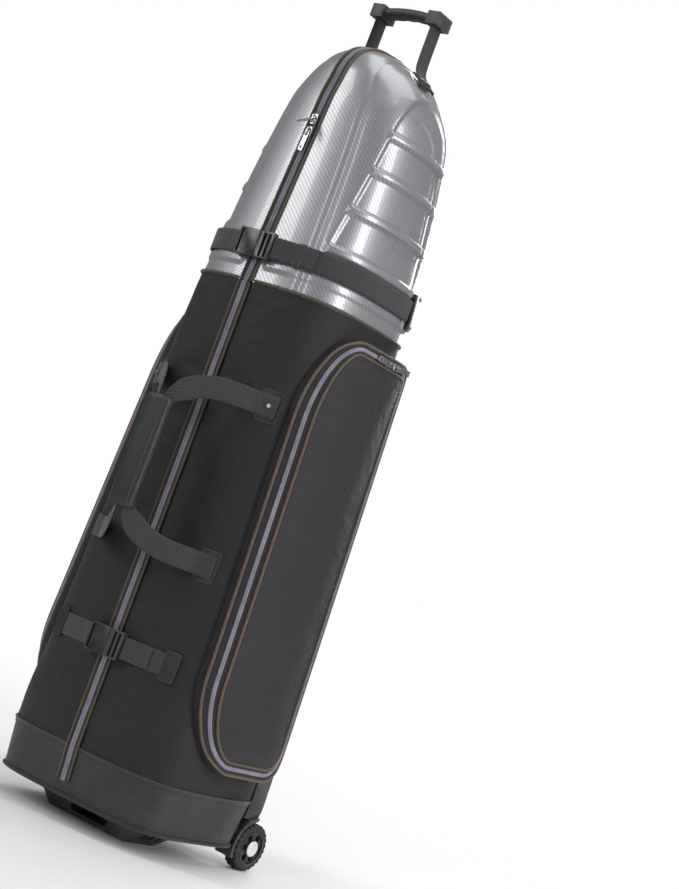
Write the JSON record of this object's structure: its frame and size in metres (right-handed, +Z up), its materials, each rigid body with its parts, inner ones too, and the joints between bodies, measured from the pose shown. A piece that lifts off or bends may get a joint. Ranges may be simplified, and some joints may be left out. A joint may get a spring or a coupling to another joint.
{
  "type": "golf travel case",
  "caption": "Upright wheeled travel case for golf clubs: padded soft body with side pockets, two-part moulded hard top opened by a front zip, compression straps and handles",
  "frame": {"origin": "On the floor, in the middle of the case's width and depth: x = 0 is the main zip's plane, z = 0 is the floor under the stand foot and the wheels.", "axes": "+Z up along the case, -Y toward the front with the main zip, +X toward the wearer of the buckle plugs' side; the wheels are at +Y and their axle lies along X."},
  "size_m": [0.3988, 0.4497, 1.394],
  "materials": {
    "band_leather": "smooth dark coated fabric",
    "body_fabric": "dotted woven polyester",
    "pocket_fabric": "coarse embossed weave",
    "piping": "bronze piping",
    "black_trim": "black trim",
    "shell": "silver grey twill pattern under gloss",
    "webbing": "twill webbing",
    "buckle": "black moulded plastic",
    "moulded": "black moulded plastic, satin",
    "zip_teeth": "pale grey coil",
    "steel": "polished",
    "rivet": "brushed",
    "tyre": "black rubber",
    "hub": "black spoked moulding",
    "cap": "silver white",
    "wrap": "stitched leatherette",
    "grip": "moulded grip"
  },
  "bodies": {
    "root": {"base_board": "moulded", "base_band": "band_leather", "bottom_piping": "black_trim", "stand_foot": "moulded", "base_screws": "rivet", "wheel_housings": "moulded", "axles": "steel", "front_panels": "body_fabric", "side_panels": "body_fabric", "back_panel": "body_fabric", "body_zip_tapes": "piping", "body_zip_teeth": "zip_teeth", "back_hinge_strip": "body_fabric", "lower_straps": "webbing", "lower_buckle_socket": "buckle", "strap_patches": "wrap", "body_rivets": "rivet", "top_grip": "grip", "grip_end_caps": "grip", "top_strap_left": "webbing", "top_strap_right": "webbing", "carry_loops": "webbing", "pocket_trays": "pocket_fabric", "pocket_zips": "black_trim"},
    "wheel_left": {"hub_left": "hub", "tyre_left": "tyre", "hub_cap_left": "cap"},
    "wheel_right": {"hub_right": "hub", "tyre_right": "tyre", "hub_cap_right": "cap"},
    "top_left": {"shell_left": "shell", "shell_trim_left": "piping", "top_zip_teeth_left": "zip_teeth", "upper_strap_left": "webbing", "upper_buckle_socket": "buckle", "strap_guide_left": "buckle", "top_rivets_left": "rivet", "handle_patch_left": "wrap"},
    "top_right": {"shell_right": "shell", "shell_trim_right": "piping", "top_zip_teeth_right": "zip_teeth", "upper_strap_right": "webbing", "strap_guide_right": "buckle", "top_rivets_right": "rivet", "handle_patch_right": "wrap"},
    "upper_plug": {"upper_buckle_plug": "buckle"},
    "lower_plug": {"lower_buckle_plug": "buckle"},
    "slider_upper": {"upper_slider": "steel"},
    "pull_upper": {"upper_pull": "steel"},
    "slider_lower": {"lower_slider": "steel"},
    "pull_lower": {"lower_pull": "steel"},
    "carry_handle": {"carry_wrap": "wrap"},
    "lid_left": {"pocket_lid_left": "pocket_fabric"},
    "lid_right": {"pocket_lid_right": "pocket_fabric"},
    "zip_left": {"pocket_slider_left": "steel"},
    "tab_left": {"pocket_pull_left": "steel"},
    "zip_front": {"pocket_slider_front": "steel"},
    "tab_front": {"pocket_pull_front": "steel"},
    "zip_rear": {"pocket_slider_rear": "steel"},
    "tab_rear": {"pocket_pull_rear": "steel"}
  },
  "joints": [
    {"name": "wheel_left_spin", "type": "hinge", "parent": "root", "child": "wheel_left", "pos_m": [-0.149, 0.16, 0.039], "axis": [1, 0, 0], "continuous": true},
    {"name": "wheel_right_spin", "type": "hinge", "parent": "root", "child": "wheel_right", "pos_m": [0.149, 0.16, 0.039], "axis": [1, 0, 0], "continuous": true},
    {"name": "top_left_open", "type": "hinge", "parent": "root", "child": "top_left", "pos_m": [0, 0.152, 0.869], "axis": [0, 0.0744, -0.9972], "range_deg": [0, 12], "deforming": ["top_strap_left"]},
    {"name": "top_right_open", "type": "hinge", "parent": "root", "child": "top_right", "pos_m": [0, 0.152, 0.869], "axis": [0, -0.0744, 0.9972], "range_deg": [0, 12], "deforming": ["top_strap_right"]},
    {"name": "upper_buckle_release", "type": "slide", "parent": "top_right", "child": "upper_plug", "axis": [1, 0, 0], "range_m": [0, 0.027]},
    {"name": "lower_buckle_release", "type": "slide", "parent": "root", "child": "lower_plug", "axis": [1, 0, 0], "range_m": [0, 0.027]},
    {"name": "upper_slider_travel", "type": "slide", "parent": "top_right", "child": "slider_upper", "axis": [0, 0.0744, 0.9972], "range_m": [0, 0.03]},
    {"name": "lower_slider_travel", "type": "slide", "parent": "top_right", "child": "slider_lower", "axis": [0, -0.0744, -0.9972], "range_m": [0, 0.13]},
    {"name": "upper_pull_lift", "type": "hinge", "parent": "slider_upper", "child": "pull_upper", "pos_m": [0, -0.1392, 1.14539], "axis": [-1, 0, 0], "range_deg": [-37, 95]},
    {"name": "lower_pull_lift", "type": "hinge", "parent": "slider_lower", "child": "pull_lower", "pos_m": [0, -0.14084, 1.12339], "axis": [-1, 0, 0], "range_deg": [0, 80]},
    {"name": "carry_handle_swing", "type": "hinge", "parent": "root", "child": "carry_handle", "pos_m": [0, -0.1485, 0.566], "axis": [0, 0, 1], "range_deg": [-15, 15], "deforming": ["carry_loops"]},
    {"name": "left_pocket_open", "type": "hinge", "parent": "root", "child": "lid_left", "pos_m": [-0.17711, 0.1039, 0.5], "axis": [-0.041, 0, -0.9992], "range_deg": [0, 60]},
    {"name": "right_pocket_open", "type": "hinge", "parent": "root", "child": "lid_right", "pos_m": [0.17711, 0.1039, 0.5], "axis": [-0.041, 0, 0.9992], "range_deg": [0, 60]},
    {"name": "left_pocket_slider_travel", "type": "slide", "parent": "lid_left", "child": "zip_left", "axis": [0, -1, 0], "range_m": [0, 0.05]},
    {"name": "front_pocket_slider_travel", "type": "slide", "parent": "lid_right", "child": "zip_front", "axis": [0, -1, 0], "range_m": [0, 0.05]},
    {"name": "rear_pocket_slider_travel", "type": "slide", "parent": "lid_right", "child": "zip_rear", "axis": [0, 1, 0], "range_m": [0, 0.01]},
    {"name": "left_pocket_pull_lift", "type": "hinge", "parent": "zip_left", "child": "tab_left", "pos_m": [-0.1775, 0.036, 0.83022], "axis": [-0.041, 0, -0.9992], "range_deg": [0, 150]},
    {"name": "front_pocket_pull_lift", "type": "hinge", "parent": "zip_front", "child": "tab_front", "pos_m": [0.1775, 0.036, 0.83022], "axis": [-0.041, 0, 0.9992], "range_deg": [0, 150]},
    {"name": "rear_pocket_pull_lift", "type": "hinge", "parent": "zip_rear", "child": "tab_rear", "pos_m": [0.1775, 0.058, 0.83022], "axis": [0.041, 0, -0.9992], "range_deg": [0, 150]}
  ]
}
